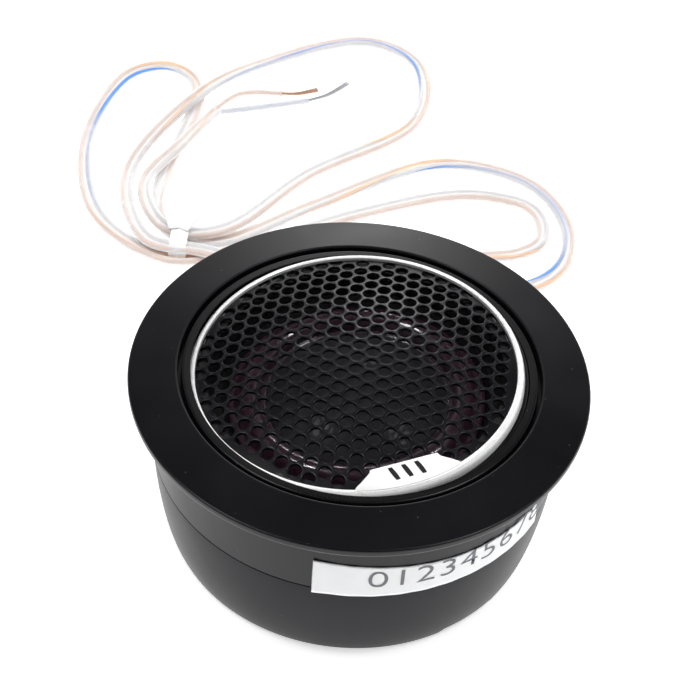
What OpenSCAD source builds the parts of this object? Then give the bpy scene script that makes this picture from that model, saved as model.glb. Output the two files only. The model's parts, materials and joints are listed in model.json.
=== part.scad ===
// Swivelling 25 mm soft-dome car tweeter: a wide round flange on a shallow rear cup, with the
// dome, its motor and its domed grille in a ball that pans and tilts inside the flange.
// Millimetres, +Z up. The origin is on the surface the cup stands on, at the middle of its rim.

/* [Housing] */
// Outside diameter of the flange
flange_d = 62; // [60.5:0.5:66]
// Height of the flange's outer top edge above the surface it stands on
flange_h = 27.5; // [27:0.1:28]
// Outside diameter of the collar under the flange
collar_d = 56; // [55.8:0.1:56.6]
// Height of the seam between the collar and the cup
seam_h = 15.6; // [15.2:0.1:16]
// Outside diameter of the cup's bottom rim
cup_base_d = 51.2; // [50.5:0.1:52]
// Distance between the two fixing holes in the cup's floor
screw_spacing = 28; // [24:1:30]

/* [Ball] */
// Diameter of the swivel ball
ball_d = 49; // [48.9:0.05:49.05]
// How far the ball leans as it stands, in degrees
rest_tilt = 3.8; // [0:0.1:6]
// Direction it leans to, anticlockwise from +X
rest_azimuth = 197; // [0:1:359]
// Outside diameter of the trim ring
trim_d = 45; // [44.6:0.1:45.2]

/* [Grille] */
// Distance between neighbouring holes
hole_pitch = 2.2; // [2.1:0.05:3]
// Diameter of a hole
hole_d = 1.8; // [1.2:0.1:1.8]
// Height of the grille's crown above its edge
grille_crown = 2.7; // [2.4:0.1:2.8]
// Turn of the rows of holes about the ball's axis
hole_turn = 26.4; // [0:0.1:60]

/* [Driver] */
// Diameter of the dome
dome_d = 25; // [24.6:0.1:25.2]
// Height of the dome above the surround
dome_h = 4.2; // [3.6:0.1:4.6]

/* [Lead] */
// Width of the flat twin lead
lead_w = 2.6; // [2.4:0.1:2.6]
// Thickness of the flat twin lead
lead_t = 1.3; // [1.2:0.05:1.3]

/* [Hidden] */
$fn = 96;
eps = 0.01;

// Housing
flange_r = flange_d / 2;
collar_r = collar_d / 2;
base_r = cup_base_d / 2;
lip_r = 24.4;           // inner edge of the flange's top
lip_rise = 0.9;         // the flange's top climbs this much towards the lip
lip_t = 1.5;
bore_r = 26.12;         // bore that the socket ring turns in
lap_r = 27.0;           // outside of the skirt that laps into the cup
lap_h = 2.2;
seam_gap = 0.1;
cup_bulge = 1.55;       // power of the cup's outer curve
floor_under = 2.6;      // underside of the cup's floor
floor_top = 4.2;
ledge_h = 10;           // ledge that the foam ring stands on
ledge_r = 24.2;
cup_bore_r = 26.0;
rim_w = 1.9;            // width of the rim that the cup stands on
notch_az = [-48, 132];  // middles of the two notches in the rim
notch_w = 9;
notch_h = 1.5;
screw_hole_r = 1.9;
cable_hole_r = 3.2;

// Ball
ball_r = ball_d / 2;
ball_z = 18.6;          // height of the ball's centre
seat_gap = 0.08;        // running clearance of the ball in its seats
seat_r = ball_r + seat_gap;
ball_low = -7;          // the ball's zone, from its centre
ball_high = 8.4;
ball_bore_r = 21.6;
cap_low = -8.2;         // outside of the lid over its back
cap_t = 1.0;
lid_hole_r = 1.8;       // hole for the lead in the lid
screw_r = 1.03;
screw_l = 5;

// Grille and trim
trim_r = trim_d / 2;
trim_in_r = 21.55;
trim_top = 9.95;
plate_az = -68;         // middle of the badge plate
plate_reach = 18.8;     // straight inner edge of the plate, from the ball's axis
plate_half = 4.5;
plate_foot = 7.0;
plate_t = 0.6;
plate_hinge = 21.9;     // where the plate leaves the ring
plate_slope = 14.5;
grille_r = 21.45;
grille_edge_z = 9.5;
grille_t = 0.5;
grille_border = 0.2;   // plain metal outside the outermost holes
grille_R = (grille_r * grille_r + grille_crown * grille_crown) / (2 * grille_crown);
grille_shift = [0.25, -0.45];

// Driver
yoke_r = 15.2;
yoke_bore_r = 13.4;
gap_top = 2.0;          // top of the motor
baffle_top = 4.6;
coil_r = 12.75;

// ---- Shared shapes ----

// Points of an arc of radius r about c, from angle a0 to a1 in n steps
function arc(r, a0, a1, n, c = [0, 0]) =
    [for (i = [0:n]) let (a = a0 + (a1 - a0) * i / n) c + r * [cos(a), sin(a)]];

// A ring with a square section
module ring(r_in, r_out, z0, z1) {
    translate([0, 0, z0]) difference() {
        cylinder(r = r_out, h = z1 - z0);
        translate([0, 0, -eps]) cylinder(r = r_in, h = z1 - z0 + 2 * eps);
    }
}

// Puts what is drawn about the ball's centre where the ball is, leaning as it rests
module in_ball() {
    translate([0, 0, ball_z]) rotate([0, 0, rest_azimuth]) rotate([0, rest_tilt, 0])
        rotate([0, 0, -rest_azimuth]) children();
}

// Outside radius of the cup at height z: a soft curve from the rim to the seam
function cup_r(z) =
    base_r + (collar_r - base_r) * pow(1 - pow(1 - z / seam_h, cup_bulge), 1 / cup_bulge);

// ---- Cord sweep ----

// Catmull-Rom point between p[i] and p[i + 1], with the ends repeated
function at(p, i) = p[min(max(i, 0), len(p) - 1)];
function spline_point(p, i, t) =
    let (a = at(p, i - 1), b = at(p, i), c = at(p, i + 1), d = at(p, i + 2))
    0.5 * ((2 * b) + (c - a) * t + (2 * a - 5 * b + 4 * c - d) * t * t
        + (3 * b - a - 3 * c + d) * t * t * t);
// Every stretch is cut into equal steps no longer than step
function spline(p, step) = [for (i = [0:len(p) - 2])
    let (n = ceil(norm(p[i + 1] - p[i]) / step))
    for (k = [0:n - 1]) spline_point(p, i, k / n), p[len(p) - 1]];
function unit(v) = v / norm(v);
function along(p, i) = unit(at(p, i + 1) - at(p, i - 1));
// Ring of a flat oval section, w wide and t thick, that keeps its width level
function oval_ring(c, dir, w, t, sides) =
    let (side = unit([dir[1], -dir[0], 0]), up = cross(side, dir))
    [for (k = [0:sides - 1]) let (a = 360 * (k + 0.5) / sides)
        c + side * (w / 2 * cos(a) / cos(180 / sides)) + up * (t / 2 * sin(a) / cos(180 / sides))];
module sweep(p, w, t, sides = 8) {
    n = len(p);
    points = [for (i = [0:n - 1]) each oval_ring(p[i], along(p, i), w, t, sides)];
    walls = [for (i = [0:n - 2], k = [0:sides - 1])
        let (a = i * sides + k, b = i * sides + (k + 1) % sides)
        each [[a, b, a + sides], [b, b + sides, a + sides]]];
    ends = [[for (k = [sides - 1:-1:0]) k], [for (k = [0:sides - 1]) (n - 1) * sides + k]];
    polyhedron(points = points, faces = concat(walls, ends), convexity = 10);
}

// Route of the free lead, from the notch in the rim to where its two cores part
lead_route = [
    [-17.5, 19.5, 0.8], [-24, 31, 0.8], [-15.5, 40.5, 0.8], [15, 55, 0.8], [24.5, 58, 0.8],
    [29, 62, 0.8], [29, 68.5, 0.8], [24.5, 72.5, 0.8], [13, 72.5, 0.8], [-5, 64, 0.8],
    [-26, 50.5, 1.3], [-37, 50.5, 1.2],
    [-48, 61, 0.8], [-52.5, 80, 0.8], [-49, 99.5, 0.8], [-40.5, 104.5, 0.8], [-34.5, 96, 0.8],
    [-37.5, 70, 0.8], [-35, 57, 1.2], [-25, 54.5, 1.3],
    [-10, 67, 0.8], [10, 81, 0.8], [27, 78, 0.8], [34, 64, 0.8], [27, 50, 0.8],
    [-1, 42.5, 2.5], [-26, 49.5, 2.9], [-38, 52.5, 2.9],
    [-43.5, 73, 0.9], [-34, 94, 2.7], [-22, 109, 1.0], [-5, 118.5, 0.8],
    [6.5, 111, 0.8], [5.5, 92, 0.8], [-12, 75, 1.1], [-24, 56.5, 3], [-34.5, 55, 2.9],
    [-40, 67, 2.4], [-35, 79, 2.7], [-30.5, 92, 0.8]];
lead_step = 14;
// Route of the lead inside the cup: a slack turn on the floor, then out under it
inner_route = [
    [0.7, 0.2, 8.5], [1.5, 1.4, 7.1], [5, 4.2, 5.6], [10, 4, 5], [13, -1.5, 5], [12.8, -8, 5],
    [9, -10, 5], [5.3, -5.9, 5.3], [2.3, -2.5, 6.1], [0.5, -0.55, 5.3], [0, 0, 3.8],
    [-0.2, 0.2, 2.5], [-1.2, 1.3, 1.35], [-4.5, 5, 0.95], [-17.5, 19.5, 0.8]];
core_w = 1.1;
strand_w = 0.7;
core_a = [[-30.2, 91.4, 0.8], [-23, 94, 0.7], [-14, 97.5, 0.7]];
core_b = [[-31.2, 92, 0.8], [-26.5, 98, 0.7], [-19, 99, 0.7]];
strand_a = [[-14, 97.5, 0.7], [-10.5, 100, 0.6], [-7, 104.5, 0.5]];
strand_b = [[-19, 99, 0.7], [-16, 99.6, 0.6], [-12.5, 101.5, 0.5]];

// ---- Housing ----

// Flange, collar and lapped skirt in one moulding
module mounting_flange() {
    color([0.07, 0.07, 0.08]) rotate_extrude() polygon([
        [bore_r, seam_h - lap_h],
        [lap_r, seam_h - lap_h],
        [lap_r, seam_h + seam_gap / 2],
        [collar_r, seam_h + seam_gap / 2],
        [collar_r, flange_h - 1.5],
        [flange_r - 0.5, flange_h - 1.5],
        [flange_r, flange_h - 1.0],
        [flange_r, flange_h - 0.25],
        each arc(0.25, 0, 80, 4, [flange_r - 0.25, flange_h - 0.25]),
        each arc(0.3, 82, 180, 4, [lip_r + 0.3, flange_h + lip_rise - 0.3]),
        [lip_r, flange_h + lip_rise - lip_t],
        [bore_r, flange_h + lip_rise - lip_t]]);
}

// Cup with its stepped bore, raised floor, rim notches and holes
module rear_cup() {
    wall = [for (i = [0:14]) let (z = 0.35 + (seam_h - seam_gap / 2 - 0.35) * i / 14)
        [cup_r(z), z]];
    color([0.07, 0.07, 0.08]) difference() {
        rotate_extrude() polygon(concat(
            [[cup_r(0) - 0.35, 0]], wall,
            [[lap_r + 0.05, seam_h - seam_gap / 2],
             [lap_r + 0.05, seam_h - lap_h - 0.1],
             [cup_bore_r, seam_h - lap_h - 0.1],
             [cup_bore_r, ledge_h],
             [ledge_r, ledge_h],
             [ledge_r, floor_top],
             [cable_hole_r, floor_top],
             [cable_hole_r, floor_under],
             [base_r - rim_w, floor_under],
             [base_r - rim_w, 0]]));
        for (az = notch_az) rotate([0, 0, az])
            translate([base_r - rim_w - 1, -notch_w / 2, -1]) cube([rim_w + 4, notch_w, notch_h + 1]);
        for (x = [-0.5, 0.5] * screw_spacing) translate([x, 0, floor_under - 1])
            cylinder(r = screw_hole_r, h = floor_top - floor_under + 2);
    }
}

// Paper number label, wrapped round the collar and the top of the cup; its top edge is cut askew
label_t = 0.12;
label_from = -98;
label_to = -28;
label_low = 14.9;
label_high = 21.3;
label_askew = 4.2;
module number_label() {
    color([0.93, 0.94, 0.95]) intersection() {
        ring(collar_r + 0.02, collar_r + 0.02 + label_t, label_low, label_high);
        rotate([0, 0, label_from]) cube(flange_d);
        rotate([0, 0, label_to]) translate([0, -flange_d, 0]) cube(flange_d);
        translate([-4, -flange_d, label_high]) rotate([0, label_askew, 0])
            translate([-flange_d, 0, -flange_d]) cube([2 * flange_d, flange_d, flange_d]);
    }
}

// Ring that the ball bears on from below
module pressure_ring() {
    color([0.16, 0.16, 0.17]) difference() {
        ring(21.5, cup_bore_r - 0.15, 11.0, 14.8);
        translate([0, 0, ball_z]) sphere(r = seat_r);
    }
}

// Springy foam that holds the pressure ring up
module foam_ring() {
    color([0.22, 0.22, 0.24]) ring(24.35, cup_bore_r - 0.3, ledge_h, 11.0);
}

// Soft bush in the floor's cable hole
module cable_grommet() {
    color([0.12, 0.12, 0.13]) rotate_extrude() polygon([
        [2.0, floor_under - 0.5], [cable_hole_r + 0.5, floor_under - 0.5],
        [cable_hole_r + 0.5, floor_under], [cable_hole_r, floor_under],
        [cable_hole_r, floor_top], [cable_hole_r + 0.5, floor_top],
        [cable_hole_r + 0.3, floor_top + 0.5], [2.0, floor_top + 0.5]]);
}

module inner_lead() {
    color([0.86, 0.84, 0.82]) sweep(spline(inner_route, lead_step), lead_w, lead_t);
}

module lead_cable() {
    color([0.9, 0.88, 0.86]) sweep(spline(lead_route, lead_step), lead_w, lead_t);
}

module lead_cores() {
    color([0.8, 0.85, 0.95]) sweep(spline(core_a, 4), core_w, core_w);
    color([0.9, 0.7, 0.6]) sweep(spline(core_b, 4), core_w, core_w);
}

module bare_strands() {
    color([0.72, 0.72, 0.72]) sweep(spline(strand_a, 4), strand_w, strand_w);
    color([0.75, 0.5, 0.35]) sweep(spline(strand_b, 4), strand_w, strand_w);
}

// Paper-covered wire tie: a flat band round the bundle and its two twisted tails
tie_x = -32;
tie_w = 3;
tie_t = 0.4;
tie_tail_w = 4.4;
tail_a = [[-32, 53.5, 3.95], [-30.5, 56.5, 5.3], [-28, 60, 5.7], [-25.5, 63.5, 4.9]];
tail_b = [[-32.4, 53.5, 3.95], [-33.5, 58, 5.9], [-33, 63, 6.2], [-31.5, 68.5, 5.2]];
module tie_outline(grow) {
    hull() for (y = [50.2, 54.7], z = [1.35, 2.8]) translate([y, z]) circle(r = 0.8 + grow, $fn = 32);
}
module cable_tie() {
    color([0.95, 0.95, 0.97]) {
        translate([tie_x - tie_w / 2, 0, 0]) rotate([90, 0, 90]) linear_extrude(tie_w)
            difference() {
                tie_outline(tie_t);
                tie_outline(0);
            }
        for (tail = [tail_a, tail_b]) sweep(spline(tail, 3), tie_tail_w, 0.5);
    }
}

// ---- Socket ring ----

// Black ring that turns in the flange's bore and carries the ball in its round seat
module socket_ring() {
    color([0.05, 0.05, 0.06]) difference() {
        rotate_extrude() polygon([
            [20, 22.4], [bore_r - 0.07, 22.4], [bore_r - 0.07, flange_h + lip_rise - lip_t - 0.1],
            [lip_r - 0.2, flange_h + lip_rise - lip_t - 0.1],
            [lip_r - 0.2, 27.9], [lip_r - 0.4, 28.1], [20, 28.1]]);
        translate([0, 0, ball_z]) sphere(r = seat_r);
    }
}

// ---- Ball ----

module ball_shell() {
    color([0.05, 0.05, 0.06]) in_ball() difference() {
        intersection() {
            sphere(r = ball_r);
            translate([0, 0, ball_low]) cylinder(r = ball_r + 1, h = ball_high - ball_low);
        }
        translate([0, 0, ball_low - 1]) cylinder(r = ball_bore_r, h = 20);
    }
}

// Lid over the back of the ball, with a spigot in its bore and a hole for the lead
module ball_rear_cap() {
    color([0.08, 0.08, 0.09]) in_ball() difference() {
        rotate_extrude() polygon([
            [lid_hole_r, cap_low], [19.5, cap_low], [22.2, cap_low + 0.5], [22.2, ball_low],
            [ball_bore_r - 0.05, ball_low], [ball_bore_r - 0.05, ball_low + 1.2],
            [20.2, ball_low + 1.2], [20.2, cap_low + cap_t],
            [lid_hole_r, cap_low + cap_t]]);
        at_cap_screws() translate([0, 0, cap_low - 1]) cylinder(r = screw_r + 0.07, h = 4);
    }
}

// Three screws through the lid, into the posts of the baffle plate
module at_cap_screws() {
    for (a = [30, 150, 270]) rotate([0, 0, a]) translate([17.5, 0, 0]) children();
}
module cap_screws() {
    head_h = 0.6;
    slot = [2.4, 0.5, 0.8];
    color([0.6, 0.6, 0.62]) in_ball() at_cap_screws() {
        translate([0, 0, cap_low]) cylinder(r = screw_r, h = screw_l);
        difference() {
            translate([0, 0, cap_low - head_h]) cylinder(r = 1.6, h = head_h);
            for (a = [0, 90]) translate([0, 0, cap_low - head_h]) rotate([0, 0, a]) cube(slot, center = true);
        }
    }
}

// Bright ring that clamps the grille, with the badge plate growing inwards and upwards from it.
// The plate's shape is drawn with its hinge line, on the ring's top, at the origin.
module plate_shape() {
    reach = plate_reach - plate_hinge;
    hull() {
        for (side = [-1, 1]) {
            translate([reach + 0.6, side * (plate_half - 0.6)]) circle(r = 0.6);
            translate([-1.2, side * (plate_foot - 0.6)]) circle(r = 0.3);
        }
        circle(r = 0.3);
    }
}
module on_plate() {
    in_ball() rotate([0, 0, plate_az]) translate([plate_hinge, 0, trim_top + 0.15 - plate_t])
        rotate([0, plate_slope, 0]) children();
}
module trim_ring() {
    color([0.92, 0.92, 0.93]) {
        in_ball() rotate_extrude() polygon([
            [trim_in_r, ball_high], [22.6, ball_high], [trim_r, 9.2], [trim_r - 0.15, 9.6],
            [22.0, trim_top], [trim_in_r + 0.15, trim_top], [trim_in_r, 9.85]]);
        on_plate() linear_extrude(plate_t) plate_shape();
    }
}

// Raised mark on the plate: three slanted bars
module badge_emblem() {
    color([0.08, 0.08, 0.09]) on_plate() for (k = [-1, 0, 1])
        translate([plate_reach - plate_hinge + 1.5, k * 1.5, plate_t]) rotate([0, 0, 20])
            translate([-0.75, -0.3, 0]) cube([1.5, 0.6, 0.1]);
}

// Domed sheet with round holes on a triangular pattern
module grille() {
    rows = ceil(2 * grille_r / hole_pitch / sqrt(3)) + 1;
    holes = [for (j = [-rows:rows], i = [-2 * rows:2 * rows])
        let (p = hole_pitch * [i + j / 2, j * sqrt(3) / 2],
             q = [p[0] * cos(hole_turn) - p[1] * sin(hole_turn),
                  p[0] * sin(hole_turn) + p[1] * cos(hole_turn)] + grille_shift)
        if (norm(q) < grille_r - hole_d / 2 - grille_border) q];
    color([0.06, 0.06, 0.07]) in_ball() {
        intersection() {
            translate([0, 0, grille_edge_z - 2]) linear_extrude(grille_crown + 4) difference() {
                circle(r = grille_r);
                for (q = holes) translate(q) circle(r = hole_d / 2, $fn = 24);
            }
            translate([0, 0, grille_edge_z + grille_crown - grille_R]) difference() {
                sphere(r = grille_R, $fn = 240);
                sphere(r = grille_R - grille_t, $fn = 240);
            }
        }
    }
}

// ---- Driver ----

// Plate that carries the dome and holds the motor, with three screw posts down to the lid
module baffle_plate() {
    color([0.08, 0.08, 0.09]) in_ball() {
        rotate_extrude() polygon([
            [yoke_bore_r, gap_top], [ball_bore_r - 0.1, gap_top], [ball_bore_r - 0.1, baffle_top],
            [18.4, baffle_top], [17.6, 3.5], [16.6, 3.5], [16.6, 3.0], [yoke_bore_r, 3.0]]);
        at_cap_screws() difference() {
            translate([0, 0, cap_low + cap_t]) cylinder(r = 1.9, h = gap_top + 0.5 - cap_low - cap_t);
            translate([0, 0, cap_low + cap_t - 1]) cylinder(r = screw_r + 0.02, h = screw_l + 1);
        }
    }
}

// Ring of foam between the baffle plate and the grille's edge
module gasket_ring() {
    color([0.15, 0.15, 0.16]) in_ball()
        ring(19.9, ball_bore_r - 0.2, baffle_top, grille_edge_z - grille_t - 0.05);
}

module yoke() {
    color([0.55, 0.56, 0.58]) in_ball() difference() {
        translate([0, 0, -5.6]) cylinder(r = yoke_r, h = gap_top + 5.6);
        translate([0, 0, -3.8]) cylinder(r = yoke_bore_r, h = 10);
    }
}

module magnet() {
    color([0.62, 0.63, 0.66]) in_ball() translate([0, 0, -3.8]) cylinder(r = 11.6, h = 3.2);
}

module top_plate() {
    color([0.5, 0.5, 0.52]) in_ball() translate([0, 0, -0.6]) cylinder(r = 12.1, h = 2.4);
}

// Felt on the top plate, under the dome
module damping_pad() {
    color([0.25, 0.25, 0.27]) in_ball() translate([0, 0, 1.8]) cylinder(r1 = 11, r2 = 9, h = 2.0);
}

// Insulating board on the side of the motor, with its two solder tags
module terminal_board() {
    color([0.45, 0.3, 0.18]) in_ball() translate([15.3, -5, -3.6]) cube([1.2, 10, 4.4]);
}
module terminal_tags() {
    color([0.75, 0.73, 0.6]) in_ball() for (y = [-3, 3]) translate([16.5, y - 1, -5.4])
        difference() {
            cube([0.4, 2, 5]);
            translate([-1, 1, 1.2]) rotate([0, 90, 0]) cylinder(r = 0.5, h = 3);
        }
}

// Braided leads from the coil, through the plate's edge, down to the tags
module voice_coil_leads() {
    color([0.7, 0.45, 0.25]) in_ball() for (y = [-3, 3])
        sweep(spline([[16.95, y, -0.6], [18, y, 0], [18.2, y * 0.9, 1.0], [17.6, y * 0.8, 1.7]], 1.5),
            0.4, 0.4, 6);
}

// End of the lead inside the ball: up through the lid, along it, and its two cores to the tags
ball_route = [[-0.1, 0, -9.4], [0, 0, -8.2], [0.5, 0, -7.1], [2.2, 0, -6.5], [9, 0, -6.5], [15, 0, -6.5]];
module ball_lead() {
    color([0.86, 0.84, 0.82]) in_ball() {
        sweep(spline(ball_route, 4), 2.2, 1.0);
        for (side = [-1, 1])
            sweep(spline([[14.9, side * 0.55, -6.5], [16.4, side * 1.4, -6.2], [17.3, side * 3, -4.9]], 2),
                0.7, 0.7, 6);
    }
}

// ---- Moving diaphragm ----

dome_R = (pow(dome_d / 2, 2) + dome_h * dome_h) / (2 * dome_h);
dome_base = 3.8;
module dome() {
    color([0.1, 0.09, 0.12]) in_ball() intersection() {
        translate([0, 0, dome_base + dome_h - dome_R]) difference() {
            sphere(r = dome_R);
            sphere(r = dome_R - 0.25);
        }
        translate([0, 0, dome_base]) cylinder(r = dome_d / 2, h = dome_h + 1);
    }
}

// Half-roll that ties the dome's edge to the plate
module surround() {
    roll_c = [14.75, dome_base];
    color([0.3, 0.2, 0.28]) in_ball() rotate_extrude() polygon(concat(
        [[dome_d / 2 + 0.05, dome_base - 0.1]],
        arc(1.75, 180, 0, 12, roll_c),
        [[17.5, dome_base], [17.5, dome_base - 0.25], [16.3, dome_base - 0.25]],
        arc(1.5, 0, 180, 12, roll_c),
        [[dome_d / 2 + 0.05, dome_base - 0.25]]));
}

module coil_former() {
    color([0.75, 0.75, 0.77]) in_ball() ring(coil_r - 0.27, coil_r - 0.2, -1.2, dome_base);
}

module voice_coil() {
    color([0.72, 0.4, 0.2]) in_ball() ring(coil_r - 0.2, coil_r + 0.2, -1.2, 1.8);
}

mounting_flange();
rear_cup();
number_label();
pressure_ring();
foam_ring();
cable_grommet();
inner_lead();
lead_cable();
lead_cores();
bare_strands();
cable_tie();
socket_ring();
ball_shell();
ball_rear_cap();
cap_screws();
trim_ring();
badge_emblem();
grille();
baffle_plate();
gasket_ring();
yoke();
magnet();
top_plate();
damping_pad();
terminal_board();
terminal_tags();
voice_coil_leads();
ball_lead();
dome();
surround();
coil_former();
voice_coil();
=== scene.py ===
"""A swivelling soft-dome tweeter with its flat twin lead, on a pale table.

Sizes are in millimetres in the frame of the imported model; put() turns them into metres.
"""

import json
import math

import bmesh
import bpy
import numpy as np
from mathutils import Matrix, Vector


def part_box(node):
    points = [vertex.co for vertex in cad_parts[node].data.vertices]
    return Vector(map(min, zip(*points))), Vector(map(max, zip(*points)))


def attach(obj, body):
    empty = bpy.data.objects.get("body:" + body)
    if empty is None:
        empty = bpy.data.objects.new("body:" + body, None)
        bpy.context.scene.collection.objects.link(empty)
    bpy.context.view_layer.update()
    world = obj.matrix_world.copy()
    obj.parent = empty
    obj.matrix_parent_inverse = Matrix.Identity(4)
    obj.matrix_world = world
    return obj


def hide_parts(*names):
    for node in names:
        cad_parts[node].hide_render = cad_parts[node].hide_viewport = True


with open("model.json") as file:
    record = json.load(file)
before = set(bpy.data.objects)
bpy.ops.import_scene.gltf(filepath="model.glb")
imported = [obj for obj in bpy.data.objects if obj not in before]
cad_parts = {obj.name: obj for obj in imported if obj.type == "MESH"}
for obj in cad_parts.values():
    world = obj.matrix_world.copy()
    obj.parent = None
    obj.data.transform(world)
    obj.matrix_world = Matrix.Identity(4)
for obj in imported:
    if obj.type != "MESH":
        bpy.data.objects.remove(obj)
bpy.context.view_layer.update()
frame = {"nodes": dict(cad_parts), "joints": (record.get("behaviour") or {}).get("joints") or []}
MM = 0.001
joints = {joint["name"]: joint for joint in frame["joints"]}


def box(node):
    """Lowest and highest corner of a CAD node, in millimetres."""
    return np.array(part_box(node)) / MM


def show(name, data):
    """New object in the scene."""
    thing = bpy.data.objects.new(name, data)
    bpy.context.scene.collection.objects.link(thing)
    return thing


def stand(thing, axes, spot):
    """Stands an object at a spot in metres, with its own axes along three directions."""
    matrix = np.eye(4)
    matrix[:3, :3] = np.stack(axes, 1)
    matrix[:3, 3] = spot
    thing.matrix_world = matrix.T


# ---- Camera ----

AIM = np.array([0, 0, box("mounting_flange")[1][2] - 0.9])
VIEW_DISTANCE = 220
VIEW_ELEVATION = math.radians(44.8)
VIEW_ROLL = math.radians(-4.75)
SENSOR_WIDTH, LENS = 36, 84.4
SHIFT_ACROSS, SHIFT_UP = -0.015, 0.029
NEAREST, FARTHEST = 0.01, 20


def make_camera():
    """Camera on a sphere about the flange's middle, turned a little about its own line of sight."""
    back = np.array([0, -math.cos(VIEW_ELEVATION), math.sin(VIEW_ELEVATION)])
    right = np.array([1.0, 0, 0])
    up = np.cross(back, right)
    cos_roll, sin_roll = math.cos(VIEW_ROLL), math.sin(VIEW_ROLL)
    rolled = [right * cos_roll - up * sin_roll, right * sin_roll + up * cos_roll, back]
    data = bpy.data.cameras.new("camera")
    data.sensor_width, data.lens = SENSOR_WIDTH, LENS
    data.shift_x, data.shift_y = SHIFT_ACROSS, SHIFT_UP
    data.clip_start, data.clip_end = NEAREST, FARTHEST
    camera = show("camera", data)
    stand(camera, rolled, (AIM + back * VIEW_DISTANCE) * MM)
    bpy.context.scene.camera = camera


make_camera()


# ---- Meshes ----

WELD_GAP, SHORTEST_EDGE = 2e-6, 1e-6
LARGEST_ROUND, GUARD = 0.42, 1.15


def put(name, points, faces, finish, body, slot, replaces=(), uv=None, weld=False):
    """Mesh of points in millimetres, which rides on a body with its finish. Its record slot is not used."""
    mesh = bpy.data.meshes.new(name)
    mesh.from_pydata((np.asarray(points, float) * MM).tolist(), [], np.asarray(faces).tolist())
    if uv is not None:
        layer = mesh.uv_layers.new(name="uv")
        corners = np.empty(len(mesh.loops), int)
        mesh.loops.foreach_get("vertex_index", corners)
        layer.data.foreach_set("uv", np.asarray(uv)[corners].astype(np.float32).ravel())
    if weld:
        work = bmesh.new()
        work.from_mesh(mesh)
        bmesh.ops.remove_doubles(work, verts=work.verts, dist=WELD_GAP)
        bmesh.ops.dissolve_degenerate(work, edges=work.edges, dist=SHORTEST_EDGE)
        work.to_mesh(mesh)
        work.free()
    mesh.polygons.foreach_set("use_smooth", [True] * len(mesh.polygons))
    mesh.materials.append(finish)
    piece = show(name, mesh)
    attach(piece, body)
    if replaces:
        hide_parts(*replaces)
    return piece


def moved(mesh, change):
    """Takes a mesh's points, an array of rows of three numbers, through a change."""
    points = np.empty(len(mesh.vertices) * 3)
    mesh.vertices.foreach_get("co", points)
    mesh.vertices.foreach_set("co", change(points.reshape(-1, 3)).ravel())


def quads(rows, columns, around_rows=False, around_columns=False):
    """Quads of a grid of rows by columns, each from (row, column) to the next row, then the next column.
    A grid that goes around joins its last line to its first."""
    index = np.arange(rows * columns).reshape(rows, columns)
    if around_rows:
        index = np.vstack([index, index[:1]])
    if around_columns:
        index = np.hstack([index, index[:, :1]])
    return np.stack([index[:-1, :-1], index[1:, :-1], index[1:, 1:], index[:-1, 1:]], -1).reshape(-1, 4)


def rounded(corners, radii, steps=6):
    """Closed outline with rounded corners: at each corner a quadratic curve between two points a radius
    away along its sides, and one point beyond each end so that the flats stay flat."""
    corner = np.array(corners, float)
    sides = [np.roll(corner, shift, 0) - corner for shift in (1, -1)]
    lengths = [np.linalg.norm(side, axis=1, keepdims=True) for side in sides]
    reach = np.broadcast_to(np.asarray(radii, float), len(corner))[:, None]
    reach = np.minimum(reach, LARGEST_ROUND * np.minimum(*lengths))
    before, after = [side / length * reach for side, length in zip(sides, lengths)]
    t = np.linspace(0, 1, steps)[None, :, None]
    a, b = (corner + before)[:, None], (corner + after)[:, None]
    curve = (1 - t) ** 2 * a + 2 * t * (1 - t) * corner[:, None] + t * t * b
    guards = [(corner + GUARD * part)[:, None] for part in (before, after)]
    return np.concatenate([guards[0], curve, guards[1]], 1).reshape(-1, 2)


def turned_grid(outline, turns=256):
    """Points of an outline in (radius, height) carried round the axis through each angle: radius times its
    cosine, radius times its sine, and the height."""
    angle = np.linspace(0, 2 * np.pi, turns, endpoint=False)[:, None]
    radius, height = np.asarray(outline)[None, :, 0], np.asarray(outline)[None, :, 1]
    return np.stack([radius * np.cos(angle), radius * np.sin(angle), height + 0 * angle], -1)


def turned(name, outline, place=lambda p: p, **rest):
    """Closed outline turned about the axis, then put in place."""
    grid = turned_grid(outline)
    faces = quads(*grid.shape[:2], around_rows=True, around_columns=True)
    return put(name, place(grid.reshape(-1, 3)), faces, **rest)


BALL_MIDDLE = np.array(joints["ball_tilt"]["pos_m"]) / MM
BALL_AXIS = np.array(joints["dome_travel"]["axis"])
BALL_AXIS = BALL_AXIS / np.linalg.norm(BALL_AXIS)


def in_ball(points):
    """Points given about the ball's middle with the ball straight, taken to where the ball leans at rest:
    the shortest turn that takes +Z to the ball's axis."""
    points = np.asarray(points, float)
    side = np.cross([0, 0, 1], BALL_AXIS)
    sine, cosine = np.linalg.norm(side), BALL_AXIS[2]
    side = side / sine
    turned_points = (points * cosine + np.cross(side, points) * sine
                     + side * (points @ side)[..., None] * (1 - cosine))
    return turned_points + BALL_MIDDLE


# ---- Finishes ----


class Value:
    """What comes out of a node, with arithmetic that adds Math nodes."""

    def __init__(self, finish, socket):
        self.finish, self.socket = finish, socket

    def __add__(self, other):
        return self.finish.maths("ADD", self, other)

    def __mul__(self, other):
        return self.finish.maths("MULTIPLY", self, other)

    def __sub__(self, other):
        return self.finish.maths("SUBTRACT", self, other)

    def __rsub__(self, other):
        return self.finish.maths("SUBTRACT", other, self)

    def __lt__(self, other):
        return self.finish.maths("LESS_THAN", self, other)

    def __gt__(self, other):
        return self.finish.maths("GREATER_THAN", self, other)

    __radd__ = __add__
    __rmul__ = __mul__


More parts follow.
